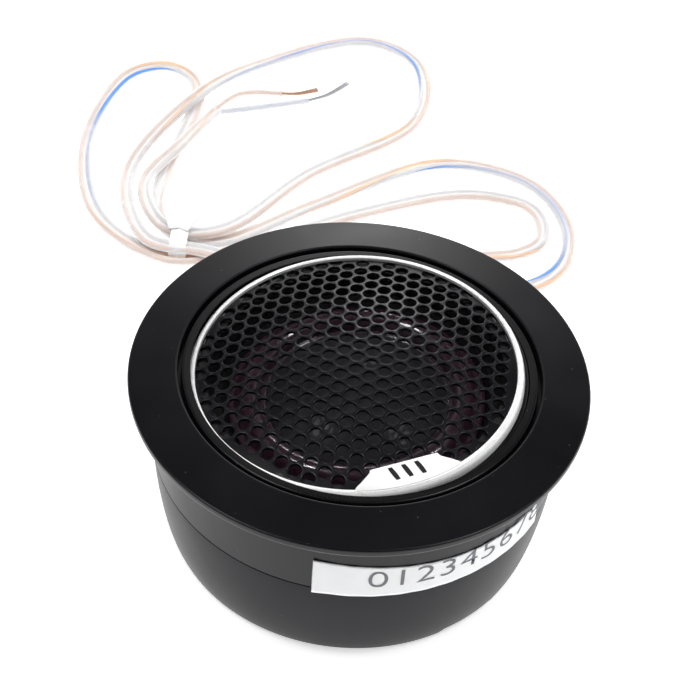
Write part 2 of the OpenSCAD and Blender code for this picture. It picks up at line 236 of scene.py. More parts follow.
class Finish:
    """A material in the making. Keyword arguments of the constructor set the shader's own sockets."""

    def __init__(self, name, **constants):
        self.material = bpy.data.materials.new(name)
        self.material.use_nodes = True
        self.tree = self.material.node_tree
        self.shader = self.tree.nodes["Principled BSDF"]
        for socket, value in constants.items():
            self.feed(self.shader.inputs[socket.replace("_", " ")], value)

    def feed(self, socket, value):
        """Links a Value to a socket, or sets the socket; a colour of three numbers becomes opaque."""
        if isinstance(value, Value):
            self.tree.links.new(value.socket, socket)
        elif hasattr(value, "__len__") and len(value) == 3 and socket.type == "RGBA":
            socket.default_value = (*value, 1)
        else:
            socket.default_value = value

    def node(self, kind, settings=(), inputs=(), output=0):
        """Any node: its settings first, then its sockets' values or links; gives one output."""
        node = self.tree.nodes.new("ShaderNode" + kind)
        for key, value in dict(settings).items():
            setattr(node, key, value)
        for socket, value in dict(inputs).items():
            self.feed(node.inputs[socket], value)
        return Value(self, node.outputs[output])

    def maths(self, operation, *values):
        """Math node on one or two values."""
        return self.node("Math", {"operation": operation}, dict(enumerate(values)))

    def mix(self, amount, first, second):
        """Colour between first and second."""
        return self.node("Mix", {"data_type": "RGBA"}, {0: amount, 6: first, 7: second}, 2)

    def place(self):
        """Place on the object, in metres."""
        return self.node("TexCoord", output=3)

    def scaled(self, vector, scale):
        """Vector with each of its parts times its own scale."""
        return self.node("VectorMath", {"operation": "MULTIPLY"}, {0: vector, 1: scale})

    def noise(self, vector, scale, detail=2.0, roughness=0.5):
        """Cloudy value from 0 to 1; its patches are about one over scale metres wide."""
        return self.node("TexNoise", {}, {"Vector": vector, "Scale": scale, "Detail": detail,
                                          "Roughness": roughness})

    def ranged(self, value, low, high, to_low=0.0, to_high=1.0):
        """Value from low..high taken smoothly to to_low..to_high, held at the ends."""
        return self.node("MapRange", {"interpolation_type": "SMOOTHSTEP"},
                         {0: value, 1: low, 2: high, 3: to_low, 4: to_high})

    def specks(self, vector, scale, size, share):
        """Small round specks: near a cell's middle, in a share of the cells."""
        settings, inputs = {"feature": "F1"}, {"Vector": vector, "Scale": scale}
        distance = self.node("TexVoronoi", settings, inputs)
        chance = self.node("SeparateColor", {}, {0: self.node("TexVoronoi", settings, inputs, 1)})
        return (distance < size) * (chance < share)

    def bump(self, height, strength, depth):
        """Relief whose height of 1 stands depth millimetres proud."""
        normal = self.node("Bump", {}, {"Height": height, "Strength": strength, "Distance": depth * MM})
        self.feed(self.shader.inputs["Normal"], normal)

    def done(self, **sockets):
        """Sets or links the shader's sockets and gives the material."""
        for socket, value in sockets.items():
            self.feed(self.shader.inputs[socket.replace("_", " ")], value)
        return self.material


def moulded_black(name, tint, gloss, grain, specks, shine=0.5):
    """Moulded black plastic: fine eroded grain, a broad unevenness of sheen, and a little dust."""
    finish = Finish(name, Specular_IOR_Level=shine)
    place = finish.place()
    fine = finish.noise(place, 5200, 3)
    broad = finish.noise(place, 90, 4)
    dust = finish.specks(place, 1300, 0.09, specks)
    finish.bump(fine + dust * 0.6, grain, 0.02)
    colour = finish.mix(broad, tint, [1.5 * c for c in tint])
    return finish.done(Base_Color=finish.mix(dust, colour, (0.12, 0.12, 0.13)),
                       Roughness=gloss + (broad - 0.5) * 0.16 + (fine - 0.5) * 0.1)


def painted_grille():
    """Semi-gloss black paint on pierced sheet, slightly thick and uneven, with a worn sheen."""
    finish = Finish("grille_paint", Specular_IOR_Level=0.3)
    place = finish.place()
    orange_peel = finish.noise(place, 1900, 2)
    patches = finish.noise(place, 160, 3)
    finish.bump(orange_peel, 0.35, 0.03)
    return finish.done(Base_Color=finish.mix(patches, (0.003, 0.003, 0.004), (0.007, 0.007, 0.009)),
                       Roughness=0.24 + patches * 0.14, Coat_Weight=0.1)


def satin_metal(name, colour, roughness, along):
    """Bright metal turned on a lathe: fine lines follow the ring, and tiny pits catch the light."""
    finish = Finish(name, Metallic=0.15)
    place = finish.place()
    lines = finish.noise(finish.scaled(place, along), 1.0, 3)
    blotch = finish.noise(place, 120, 2)
    pits = finish.specks(place, 2600, 0.2, 0.12)
    finish.bump(lines + pits * -0.4, 0.06, 0.006)
    return finish.done(Base_Color=finish.mix(blotch, colour, [0.95 * c for c in colour]),
                       Roughness=roughness + (lines - 0.5) * 0.12 + (blotch - 0.5) * 0.08)


def pearl_plate():
    """White-silver satin of the badge plate: a pale base with a fine sparkle."""
    finish = Finish("plate_satin")
    place = finish.place()
    sparkle = finish.noise(place, 9000, 1)
    cloud = finish.noise(place, 300, 3)
    finish.bump(sparkle, 0.25, 0.008)
    return finish.done(Base_Color=finish.mix(cloud, (0.93, 0.93, 0.93), (0.97, 0.97, 0.965)),
                       Roughness=0.3 + sparkle * 0.2)


def paper(name, colour, fibre=2400):
    """Coated paper: faint fibres and a slight unevenness of white."""
    finish = Finish(name, Specular_IOR_Level=0.35)
    place = finish.place()
    fibres = finish.noise(finish.scaled(place, (1, 1, 2.5)), fibre, 4, 0.7)
    cloud = finish.noise(place, 220, 3)
    finish.bump(fibres, 0.15, 0.02)
    return finish.done(Base_Color=finish.mix(cloud, colour, [0.93 * c for c in colour]),
                       Roughness=0.48 + fibres * 0.12)


def print_ink(name, colour, patchy):
    """Printed ink, thinner in places so that the ground shows."""
    finish = Finish(name, Specular_IOR_Level=0.4)
    worn = finish.noise(finish.place(), 2600, 4, 0.7)
    thin = finish.ranged(worn, 0.55, 0.8) * patchy
    return finish.done(Base_Color=finish.mix(thin, colour, (0.5, 0.5, 0.52)), Roughness=0.4 + worn * 0.2)


def woven_dome():
    """Coated black silk: a fine square weave under a thin damping coat, with a soft sheen."""
    finish = Finish("dome_silk", Sheen_Weight=0.1, Sheen_Roughness=0.4)
    place = finish.place()
    threads = [finish.node("TexWave", {"bands_direction": axis}, {"Vector": place, "Scale": 1500.0,
                                                               "Distortion": 0.6, "Detail": 1.0})
               for axis in ("X", "Y")]
    weave = threads[0] * threads[1]
    coat = finish.noise(place, 400, 3)
    finish.bump(weave + coat * 0.5, 0.3, 0.03)
    return finish.done(Base_Color=finish.mix(coat, (0.003, 0.0025, 0.004), (0.008, 0.006, 0.009)),
                       Roughness=0.5 + coat * 0.2, Coat_Weight=0.05)


def damped_surround():
    """Glossy tacky coat on dark cloth, plum in the light, with small puddles."""
    finish = Finish("surround_coat", Coat_Roughness=0.12, Coat_IOR=2.0)
    place = finish.place()
    puddles = finish.noise(place, 700, 3)
    finish.bump(puddles, 0.35, 0.05)
    return finish.done(Base_Color=finish.mix(puddles, (0.012, 0.005, 0.009), (0.05, 0.02, 0.036)),
                       Roughness=0.2 + puddles * 0.2, Coat_Weight=1.0)


def soft_foam(name, colour):
    """Open foam: round cells pressed into a dull ground; painted shade darkens each cell's hollow middle."""
    finish = Finish(name, Specular_IOR_Level=0.2)
    cells = finish.node("TexVoronoi", {}, {"Vector": finish.place(), "Scale": 1800.0})
    finish.bump(cells, 0.8, 0.15)
    # Painted shade: the colour falls to six tenths of the foam's own at the middle of each cell, the bottom
    # of its hollow.
    return finish.done(Base_Color=finish.mix(cells, [0.6 * c for c in colour], colour),
                       Roughness=0.8 + cells * 0.15)


def plain_metal(name, colour, roughness, scratch=1400):
    """Plated metal: fine rolled lines one way and dull stains."""
    finish = Finish(name, Metallic=1.0)
    place = finish.place()
    lines = finish.noise(finish.scaled(place, (1, 0.08, 1)), scratch, 3)
    stain = finish.noise(place, 180, 4)
    finish.bump(lines, 0.15, 0.01)
    return finish.done(Base_Color=finish.mix(stain, colour, [0.75 * c for c in colour]),
                       Roughness=roughness + (stain - 0.5) * 0.2 + (lines - 0.5) * 0.1)


def pressed_board():
    """Brown pressed board: flecks of fibre in resin."""
    finish = Finish("board_fibre", Specular_IOR_Level=0.4)
    flecks = finish.noise(finish.scaled(finish.place(), (1, 3, 1)), 1200, 5, 0.7)
    finish.bump(flecks, 0.2, 0.03)
    return finish.done(Base_Color=finish.mix(flecks, (0.16, 0.08, 0.03), (0.42, 0.26, 0.12)),
                       Roughness=0.5 + flecks * 0.2)


def stranded_wire(name, colour, strands, pitch):
    """Bunched fine wires: the relief of strands that wind once round the core in one pitch. The piece's
    own map runs round the core across and along it in millimetres."""
    finish = Finish(name, Metallic=0.4)
    parts = finish.node("SeparateXYZ", {}, {0: finish.node("TexCoord", output=2)})
    along = Value(finish, parts.socket.node.outputs[1])
    phase = (parts + along * (1.0 / pitch)) * (2 * math.pi * strands)
    ridge = finish.maths("SINE", phase) * 0.5 + 0.5
    tarnish = finish.noise(finish.place(), 500, 3)
    finish.bump(ridge, 0.9, 0.08)
    return finish.done(Base_Color=finish.mix(tarnish, colour, [0.8 * c for c in colour]),
                       Roughness=0.3 + ridge * 0.15)


def clear_sheath(name, tint, lines=(), half_width=0.07, turn_length=170.0, turn_start=190.0):
    """Soft see-through sheath: clearer in the middle of each lobe and milky where it is seen edge on. Its
    coloured lines run along it and slowly wind from the upper side to the lower one and back, once in each
    turn length, and fade in places. The piece's own map runs once round the section across and in
    millimetres along."""
    finish = Finish(name, IOR=1.45, Coat_Roughness=0.05, Specular_IOR_Level=0.35)
    parts = finish.node("SeparateXYZ", {}, {0: finish.node("TexCoord", output=2)})
    run = Value(finish, parts.socket.node.outputs[1])
    haze = finish.noise(finish.place(), 350, 3)
    edge = finish.node("LayerWeight", {}, {"Blend": 0.45}, 1)
    clear = finish.ranged(edge, 0.1, 0.8, 0.5, 0.74) + (haze - 0.5) * 0.16
    colour = finish.mix(haze, tint, [0.97 * c for c in tint])
    wave = finish.maths("COSINE", (run - turn_start) * (2 * math.pi / turn_length))
    fade = finish.ranged(finish.noise(finish.place(), 22, 2), 0.4, 0.55, 0.3, 0.95)
    for shift, tone in lines:
        off_line = finish.maths("ABSOLUTE", parts - (wave * 0.3 + shift))
        line = finish.ranged(off_line, half_width * 0.5, half_width, 1, 0) * fade
        colour = finish.mix(line, colour, tone)
        clear = finish.maths("MAXIMUM", clear, line)
    finish.bump(haze, 0.15, 0.05)
    return finish.done(Base_Color=colour, Roughness=0.2 + haze * 0.12, Alpha=clear, Coat_Weight=0.25)


flange_black = moulded_black("flange_black", (0.0028, 0.0026, 0.0038), 0.33, 0.35, 0.10, 0.30)
cup_black = moulded_black("cup_black", (0.0042, 0.004, 0.006), 0.32, 0.30, 0.05, 0.15)
socket_black = moulded_black("socket_black", (0.0025, 0.0025, 0.003), 0.3, 0.2, 0.05, 0.3)
inner_black = moulded_black("inner_black", (0.004, 0.004, 0.0045), 0.5, 0.4, 0.02, 0.3)
soft_bush = moulded_black("soft_bush", (0.02, 0.02, 0.02), 0.65, 0.2, 0.02)
trim_metal = satin_metal("trim_bright", (0.95, 0.95, 0.95), 0.28, (600, 600, 4000))
bright_zinc = plain_metal("screw_zinc", (0.62, 0.62, 0.65), 0.35)
motor_steel = plain_metal("motor_plating", (0.5, 0.5, 0.52), 0.4)
magnet_nickel = plain_metal("magnet_nickel", (0.7, 0.69, 0.66), 0.22)
tinned = plain_metal("tag_tin", (0.72, 0.7, 0.64), 0.35)
foil = plain_metal("former_foil", (0.85, 0.85, 0.87), 0.3)
enamelled = plain_metal("coil_enamel", (0.55, 0.24, 0.08), 0.3, 5200)
white_paper = paper("label_paper", (0.975, 0.98, 0.985))
tie_white = paper("tie_paper", (0.95, 0.95, 0.96), 1500)
copper_wire = stranded_wire("copper_strands", (1.0, 0.62, 0.42), 7, 9.0)
tinned_wire = stranded_wire("tinned_strands", (0.84, 0.84, 0.88), 7, 9.0)
lead_clear = clear_sheath("lead_clear", (0.985, 0.985, 0.985),
                          ((-0.12, (0.10, 0.32, 0.86)), (0.16, (0.95, 0.62, 0.42))))
core_plain = clear_sheath("core_clear", (0.985, 0.98, 0.97))
core_blue = clear_sheath("core_blue", (0.86, 0.88, 0.95))
foam_grey = soft_foam("foam_grey", (0.02, 0.02, 0.022))


# ---- The lead ----

LEAD_WIDTH, LEAD_THICKNESS, LEAD_WEB = 2.6, 1.3, 0.42
LEAD_STEPS, CORE_STEPS, STRAND_STEPS = 9, 10, 20
CONDUCTOR_R, CONDUCTOR_OFFSET = 0.40, 0.64
CORE_SHEATH_R, CORE_WIRE_R, STRAND_R = 0.55, 0.36, 0.09
STRANDS, STRAND_TURNS = 7, 2.2
LEAD_ROUTE = np.array([
    [-17.5, 19.5, 0.8], [-24, 31, 0.8], [-15.5, 40.5, 0.8], [15, 55, 0.8], [24.5, 58, 0.8],
    [29, 62, 0.8], [29, 68.5, 0.8], [24.5, 72.5, 0.8], [13, 72.5, 0.8], [-5, 64, 0.8],
    [-26, 50.5, 1.3], [-37, 50.5, 1.2],
    [-48, 61, 0.8], [-52.5, 80, 0.8], [-49, 99.5, 0.8], [-40.5, 104.5, 0.8], [-34.5, 96, 0.8],
    [-37.5, 70, 0.8], [-35, 57, 1.2], [-25, 54.5, 1.3],
    [-10, 67, 0.8], [10, 81, 0.8], [27, 78, 0.8], [34, 64, 0.8], [27, 50, 0.8],
    [-1, 42.5, 2.5], [-26, 49.5, 2.9], [-38, 52.5, 2.9],
    [-43.5, 73, 0.9], [-34, 94, 2.7], [-22, 109, 1.0], [-5, 118.5, 0.8],
    [6.5, 111, 0.8], [5.5, 92, 0.8], [-12, 75, 1.1], [-24, 56.5, 3], [-34.5, 55, 2.9],
    [-40, 67, 2.4], [-35, 79, 2.7], [-30.5, 92, 0.8]])


def curve_through(points, steps):
    """Catmull-Rom curve through the points, each stretch cut into equal steps, its ends repeated."""
    p = np.vstack([points[:1], points, points[-1:]])
    a, b, c, d = [p[k:len(p) - 3 + k][:, None] for k in range(4)]
    t = np.arange(steps)[None, :, None] / steps
    curve = 0.5 * (2 * b + (c - a) * t + (2 * a - 5 * b + 4 * c - d) * t ** 2
                   + (3 * b - a - 3 * c + d) * t ** 3)
    return np.vstack([curve.reshape(-1, 3), points[-1:]])


def frame_along(path):
    """Level side vector and the vector square to it and to the path, at each point of a path."""
    direction = np.gradient(path, axis=0)
    direction = direction / np.linalg.norm(direction, axis=1, keepdims=True)
    side = np.stack([direction[:, 1], -direction[:, 0], 0 * direction[:, 0]], 1)
    side = side / np.linalg.norm(side, axis=1, keepdims=True)
    return side, np.cross(side, direction)


def carried(path, section, roll=0.0):
    """Section points (across, up) carried along a path, turned by roll about it. One section for the whole
    path, or one at each of its points."""
    side, up = frame_along(path)
    section = np.broadcast_to(section, (len(path), *np.shape(section)[-2:]))
    roll = np.broadcast_to(roll, len(path))[:, None]
    across = section[..., 0] * np.cos(roll) - section[..., 1] * np.sin(roll)
    rise = section[..., 0] * np.sin(roll) + section[..., 1] * np.cos(roll)
    return path[:, None] + across[..., None] * side[:, None] + rise[..., None] * up[:, None]


def face_outwards(mesh, ends=()):
    """A flat face over each end, given by its points' numbers, and then every face turned outwards."""
    work = bmesh.new()
    work.from_mesh(mesh)
    work.verts.ensure_lookup_table()
    for end in ends:
        work.faces.new([work.verts[k] for k in end])
    bmesh.ops.recalc_face_normals(work, faces=work.faces)
    work.to_mesh(mesh)
    work.free()


def closed_tube(name, grid, **rest):
    """Tube from a grid of sections along a path, with a flat face over each end. Its map runs round the
    section across and in millimetres along it."""
    rows, columns = grid.shape[:2]
    run = np.concatenate([[0], np.cumsum(np.linalg.norm(np.diff(grid.mean(1), axis=0), axis=1))])
    around = np.broadcast_to(np.arange(columns) / columns, (rows, columns))
    uv = np.stack([around, np.broadcast_to(run[:, None], (rows, columns))], -1).reshape(-1, 2)
    faces = quads(rows, columns, around_columns=True)[:, ::-1]
    piece = put(name, grid.reshape(-1, 3), faces, uv=uv, **rest)
    close_map(piece.data, columns)
    face_outwards(piece.data, [range(columns), range(rows * columns - 1, (rows - 1) * columns - 1, -1)])
    return piece


def close_map(mesh, columns):
    """In the faces between the last and the first point of a section, the first one's place is 1, not 0."""
    corner = np.empty(len(mesh.loops), int)
    mesh.loops.foreach_get("vertex_index", corner)
    column = (corner % columns).reshape(-1, 4)
    closing = (column == 0) & (column.max(1, keepdims=True) == columns - 1)
    layer = mesh.uv_layers["uv"].data
    place = np.empty(len(mesh.loops) * 2, np.float32)
    layer.foreach_get("uv", place)
    place = place.reshape(-1, 2)
    place[closing.ravel(), 0] = 1
    layer.foreach_set("uv", place.ravel())


def twin_section(points=28):
    """Outline of two round lobes side by side with a web between them: the half thickness is a circle's
    over each lobe, and never less than the web's between their middles."""
    angle = 2 * np.pi * (np.arange(points) + 0.5) / points
    across = LEAD_WIDTH / 2 * np.cos(angle)
    lobe = LEAD_THICKNESS / 2
    web = LEAD_WEB * lobe * (np.abs(across) < lobe)
    half = np.sqrt(np.maximum(lobe ** 2 - (np.abs(across) - lobe) ** 2, web ** 2))
    return np.stack([across, np.sign(np.sin(angle)) * half], 1)


def round_section(radius, points=12):
    """Circle of points: radius times the cosine and the sine of each angle."""
    angle = 2 * np.pi * np.arange(points) / points
    return radius * np.stack([np.cos(angle), np.sin(angle)], 1)


def make_lead():
    """The lead's sheath and its two stranded conductors, one in each lobe."""
    line = curve_through(LEAD_ROUTE, LEAD_STEPS)
    sheath = closed_tube("lead_sheath", carried(line, twin_section()), finish=lead_clear, body="housing",
                         slot="clear_lead", replaces=["lead_cable"])
    make_lead_end() + make_tie()
    for name, side, metal in (("copper", -1, copper_wire), ("tinned", 1, tinned_wire)):
        section = round_section(CONDUCTOR_R) + [side * CONDUCTOR_OFFSET, 0]
        closed_tube("lead_conductor_" + name, carried(line, section), finish=metal, body="housing",
                    slot="bare_wire")


def make_lead_end():
    """Where the cores part: two round sheaths, then their bare strands. A strand winds about the core's line,
    and its distance from the line grows with the square of its share of the length."""
    routes = {
        "tinned": ([[-30.2, 91.4, 0.8], [-23, 94, 0.7], [-14, 97.5, 0.7]],
                   [[-14, 97.5, 0.7], [-10.5, 100, 0.6], [-7, 104.5, 0.5]], core_blue, tinned_wire),
        "copper": ([[-31.2, 92, 0.8], [-26.5, 98, 0.7], [-19, 99, 0.7]],
                   [[-19, 99, 0.7], [-16, 99.6, 0.6], [-12.5, 101.5, 0.5]], core_plain, copper_wire)}
    made = []
    for metal, (sheath, strands, clear, finish) in routes.items():
        line = curve_through(np.array(sheath), CORE_STEPS)
        made.append(closed_tube("core_sheath_" + metal, carried(line, round_section(CORE_SHEATH_R, 16)),
                                finish=clear, body="housing", slot="core_sheath"))
        made.append(closed_tube("core_wire_" + metal, carried(line, round_section(CORE_WIRE_R)),
                                finish=finish, body="housing", slot="bare_wire"))
        bare = curve_through(np.array(strands), STRAND_STEPS)
        side, up = frame_along(bare)
        share = np.linspace(0, 1, len(bare))[:, None]
        outer = STRANDS - 1
        for k in range(STRANDS):
            phase = 2 * np.pi * (k / outer + STRAND_TURNS * share)
            spread = (0.2 + 0.25 * share ** 2) * (k < outer)
            strand = bare + spread * (np.cos(phase) * side + np.sin(phase) * up * 0.7)
            strand[:, 2] = np.maximum(strand[:, 2], STRAND_R + 0.03)
            made.append(closed_tube(f"bare_strand_{metal}_{k}", carried(strand, round_section(STRAND_R, 6)),
                                    finish=finish, body="housing", slot="bare_wire"))
    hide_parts("lead_cores")
    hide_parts("bare_strands")
    return made


def ribbon_section(width, wire, sheet, points=24):
    """Flat paper ribbon with a wire's ridge along its middle: the half thickness is the paper's plus a bell
    curve as high as the wire."""
    angle = 2 * np.pi * np.arange(points) / points
    across = width / 2 * np.sign(np.cos(angle)) * np.abs(np.cos(angle)) ** 0.7
    half = sheet / 2 + (wire - sheet) / 2 * np.exp(-(across / wire) ** 2 * 1.4)
    return np.stack([across, np.sign(np.sin(angle)) * half * np.abs(np.sin(angle)) ** 0.3], 1)


TIE_MIDDLE = np.array([-32, 52.45, 2.07])
TIE_REACH = np.array([0, 3.35, 1.85])
TIE_WIDTH, TIE_TAIL_WIDTH, TIE_SHEET, TIE_WIRE = 3.0, 4.4, 0.24, 0.5
TIE_STEPS, TIE_SQUARENESS = 72, 0.62


def make_tie():
    """White paper-covered wire: a band round the bundle, and two flat tails that start on top of it. The
    band's path is a squared-off ring: sine and cosine to a power below one."""
    angle = np.linspace(0, 2 * np.pi, TIE_STEPS, endpoint=False)
    wave = np.stack([0 * angle, np.cos(angle), np.sin(angle)], 1)
    path = TIE_MIDDLE + TIE_REACH * np.sign(wave) * np.abs(wave) ** TIE_SQUARENESS
    crumple = 1 + 0.04 * np.sin(7 * angle + 0.6) + 0.03 * np.sin(13 * angle)
    section = ribbon_section(TIE_WIDTH, TIE_WIRE, TIE_SHEET)
    grid = (path[:, None] + section[None, :, 0, None] * np.array([1, 0, 0]) * crumple[:, None, None]
            + section[None, :, 1, None] * wave[:, None])
    faces = quads(TIE_STEPS, len(section), around_rows=True, around_columns=True)
    band = put("tie_band", grid.reshape(-1, 3), faces, finish=tie_white, body="housing",
               slot="tie_paper", replaces=["cable_tie"])
    face_outwards(band.data)
    tails = {
        "right": ([[-32, 53.5, 4.05], [-30.5, 56.5, 5.3], [-28, 60, 5.7], [-25.5, 63.5, 4.9]], 0.12),
        "left": ([[-32.4, 53.5, 4.05], [-33.5, 58, 5.9], [-33, 63, 6.2], [-31.5, 68.5, 5.2]], -0.15)}
    made = [band]
    for name, (route, roll) in tails.items():
        line = curve_through(np.array(route), 12)
        share = np.linspace(0, 1, len(line))
        width = TIE_WIDTH + (TIE_TAIL_WIDTH - TIE_WIDTH) * np.minimum(1, 3 * share)
        ribbon = ribbon_section(TIE_TAIL_WIDTH, TIE_WIRE, TIE_SHEET)[None]
        widening = width / TIE_TAIL_WIDTH
        section = ribbon * np.stack([widening, np.ones_like(widening)], -1)[:, None]
        twist = roll + 0.25 * roll * np.sin(9 * share)
        made.append(closed_tube("tie_tail_" + name, carried(line, section, twist), finish=tie_white,
                                body="housing", slot="tie_paper"))
    return made


make_lead()


# ---- Housing ----

flange_low, flange_high = box("mounting_flange")
cup_high = box("rear_cup")[1]
FLANGE_R = flange_high[0]
LIP_TOP = flange_high[2]
FLANGE_TOP = LIP_TOP - 0.9
COLLAR_R = cup_high[0]
SEAM = cup_high[2] + 0.05
LIP_R, LIP_THICK = 24.4, 1.5
BORE_R = 26.12
FLANGE_DEPTH, FLANGE_EDGE, DISH_R, DISH_RISE = 1.5, 1.0, 27.6, 0.42
RIM_R = 25.6
RIM_WIDTH = 1.9
FLOOR_UNDER, FLOOR_TOP = 2.6, 4.2
CUP_BORE_R, LEDGE_R, LEDGE = 26.0, 24.2, 10
LAP_R, LAP_DEPTH, LAP_GAP = 27.05, 2.3, 0.05
CUP_BULGE, CUP_STEPS = 1.55, 12
WALL_FOOT_R, FLOOR_R = 22.5, 22.6
NOTCH_AZIMUTHS, NOTCH_WIDTH, NOTCH_HEIGHT, NOTCH_SLOPE = (-48, 132), 9, 1.5, 0.25
LEAD_HOLE_R, SCREW_HOLE_R, SCREW_HOLE_X, RING_STEPS = 3.2, 1.9, 14, 96


def make_flange():
    """Flange, collar and skirt as one turned outline: the top climbs to the lip with a slight hollow."""
    outline = [(BORE_R, flange_low[2]), (LAP_R - LAP_GAP, flange_low[2]), (LAP_R - LAP_GAP, SEAM),
               (COLLAR_R, SEAM), (COLLAR_R, FLANGE_TOP - FLANGE_DEPTH),
               (FLANGE_R - 0.5, FLANGE_TOP - FLANGE_DEPTH), (FLANGE_R, FLANGE_TOP - FLANGE_EDGE),
               (FLANGE_R, FLANGE_TOP), (DISH_R, FLANGE_TOP + DISH_RISE),
               (LIP_R, LIP_TOP), (LIP_R, LIP_TOP - LIP_THICK), (BORE_R, LIP_TOP - LIP_THICK)]
    radii = [0.1, 0.1, 0.05, 0.14, 0.3, 0.25, 0.3, 0.3, 2.0, 0.35, 0.1, 0.1]
    turned("flange_shell", rounded(outline, radii), finish=flange_black, body="housing",
           slot="flange_plastic", replaces=["mounting_flange"])


def cup_wall(height):
    """Outside radius of the cup at a height: a rounded-square arc from its rim to the seam."""
    return RIM_R + (COLLAR_R - RIM_R) * (1 - (1 - height / SEAM) ** CUP_BULGE) ** (1 / CUP_BULGE)


def make_cup():
    """Cup wall as a turned outline, with its floor. Over each notch the lowest points are raised to the
    notch's height, which falls to nothing at its ends."""
    heights = np.linspace(0.5, SEAM - 1.0, CUP_STEPS)
    top, lap = SEAM - LAP_GAP, SEAM - LAP_DEPTH
    outline = [(RIM_R - 0.35, 0), *zip(cup_wall(heights), heights), (COLLAR_R, top), (LAP_R + LAP_GAP, top),
               (LAP_R + LAP_GAP, lap), (CUP_BORE_R, lap), (CUP_BORE_R, LEDGE), (LEDGE_R, LEDGE),
               (LEDGE_R, FLOOR_TOP), (WALL_FOOT_R, FLOOR_TOP), (WALL_FOOT_R, FLOOR_UNDER),
               (RIM_R - RIM_WIDTH, FLOOR_UNDER), (RIM_R - RIM_WIDTH, 0)]
    radii = [0.3, *[2.0] * CUP_STEPS, 0.14, *[0.1] * 10]
    grid = turned_grid(rounded(outline, radii, 5), 512)
    azimuth = np.degrees(np.arctan2(grid[..., 1], grid[..., 0]))
    off_middle = [np.abs((azimuth - middle + 180) % 360 - 180) for middle in NOTCH_AZIMUTHS]
    reach = np.radians(np.min(off_middle, 0)) * RIM_R
    notch = NOTCH_HEIGHT * np.clip((NOTCH_WIDTH / 2 - reach) / NOTCH_SLOPE, 0, 1)
    grid[..., 2] = np.maximum(grid[..., 2], notch)
    faces = quads(*grid.shape[:2], around_rows=True, around_columns=True)
    put("cup_shell", grid.reshape(-1, 3), faces, finish=cup_black, body="housing", slot="cup_plastic",
        replaces=["rear_cup"])
    make_cup_floor()


def make_cup_floor():
    """Flat floor with two screw holes and the lead's hole, from a filled flat outline."""
    curve = bpy.data.curves.new("cup_floor", "CURVE")
    curve.dimensions, curve.fill_mode = "2D", "BOTH"
    curve.extrude = (FLOOR_TOP - FLOOR_UNDER) / 2 * MM
    holes = ((0, LEAD_HOLE_R), (-SCREW_HOLE_X, SCREW_HOLE_R), (SCREW_HOLE_X, SCREW_HOLE_R))
    for x, radius in ((0, FLOOR_R), *holes):
        ring = curve.splines.new("POLY")
        ring.points.add(RING_STEPS - 1)
        ring.use_cyclic_u = True
        points = np.zeros((RING_STEPS, 4))
        points[:, :2] = round_section(radius, RING_STEPS) + [x, 0]
        points[:, 3] = 1 / MM
        ring.points.foreach_set("co", (points * MM).ravel())
    flat = bpy.data.objects.new("flat", curve)
    mesh = bpy.data.meshes.new_from_object(flat)
    moved(mesh, lambda points: points + [0, 0, (FLOOR_TOP + FLOOR_UNDER) / 2 * MM])
    mesh.materials.append(cup_black)
    floor = show("cup_floor", mesh)
    bpy.data.objects.remove(flat)
    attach(floor, "housing")


LABEL_FROM, LABEL_TO = -98, -28
LABEL_LOW, LABEL_SHADE, LABEL_SLANT = 14.9, 21.3, 4.2
PAPER_IN, PAPER_OUT, INK_OUT = 0.03, 0.14, 0.185
DIGIT_FROM, DIGIT_FOOT, DIGIT_HEIGHT, DIGIT_STRETCH = -84, 16.8, 3.1, 1.3


def label_top(azimuth):
    """Height of the label's top edge: level, then a straight slant that falls away to the right."""
    x = COLLAR_R * np.cos(np.radians(azimuth))
    return np.minimum(LABEL_SHADE, LABEL_SHADE - np.tan(np.radians(LABEL_SLANT)) * (x + 4))


def make_label():
    """Paper strip bent round the collar, with its digits: two skins a paper's thickness apart and a closed
    edge. A bell curve lifts its left end a little."""
    azimuth = np.linspace(LABEL_FROM, LABEL_TO, 90)[:, None]
    share = np.linspace(0, 1, 14)[None, :]
    height = LABEL_LOW + (label_top(azimuth) - LABEL_LOW) * share
    lift = 0.12 * np.exp(-((azimuth - LABEL_FROM) / 2.0) ** 2) + 0.02 * np.sin(azimuth * 0.9 + 5 * share)
    skins = []
    turn = np.radians(azimuth)
    for stand in (PAPER_IN, PAPER_OUT):
        radius = COLLAR_R + stand + lift
        skins.append(np.stack([radius * np.cos(turn), radius * np.sin(turn), height], -1))
    loop = np.concatenate([skins[1], skins[0][:, ::-1]], 1)
    closed_tube("label_strip", loop, finish=white_paper, body="housing", slot="label_paper",
                replaces=["number_label"])
    make_digits()


def bent_digits(flat):
    """Flat digits sized and bent round the collar: across becomes an angle, up a height."""
    flat = flat / np.ptp(flat[:, 1]) * DIGIT_HEIGHT
    turn = np.radians(DIGIT_FROM) + flat[:, 0] * DIGIT_STRETCH / COLLAR_R
    radius = COLLAR_R + INK_OUT
    return np.stack([radius * np.cos(turn), radius * np.sin(turn), DIGIT_FOOT + flat[:, 1]], 1) * MM


def make_digits():
    """The digits in turn as flat ink on the label."""
    text = bpy.data.curves.new("digits", "FONT")
    text.body, text.size = "0123456789", 1.0
    text.space_character, text.offset = 1.05, -0.01
    holder = show("digits", text)
    bpy.context.view_layer.update()
    mesh = bpy.data.meshes.new_from_object(holder.evaluated_get(bpy.context.evaluated_depsgraph_get()))
    bpy.data.objects.remove(holder)
    moved(mesh, bent_digits)
    mesh.materials.append(print_ink("label_ink", (0.16, 0.16, 0.18), 0.6))
    digits = show("label_digits", mesh)
    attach(digits, "housing")


make_flange()
make_cup()
make_label()


# ---- Socket ring and ball ----

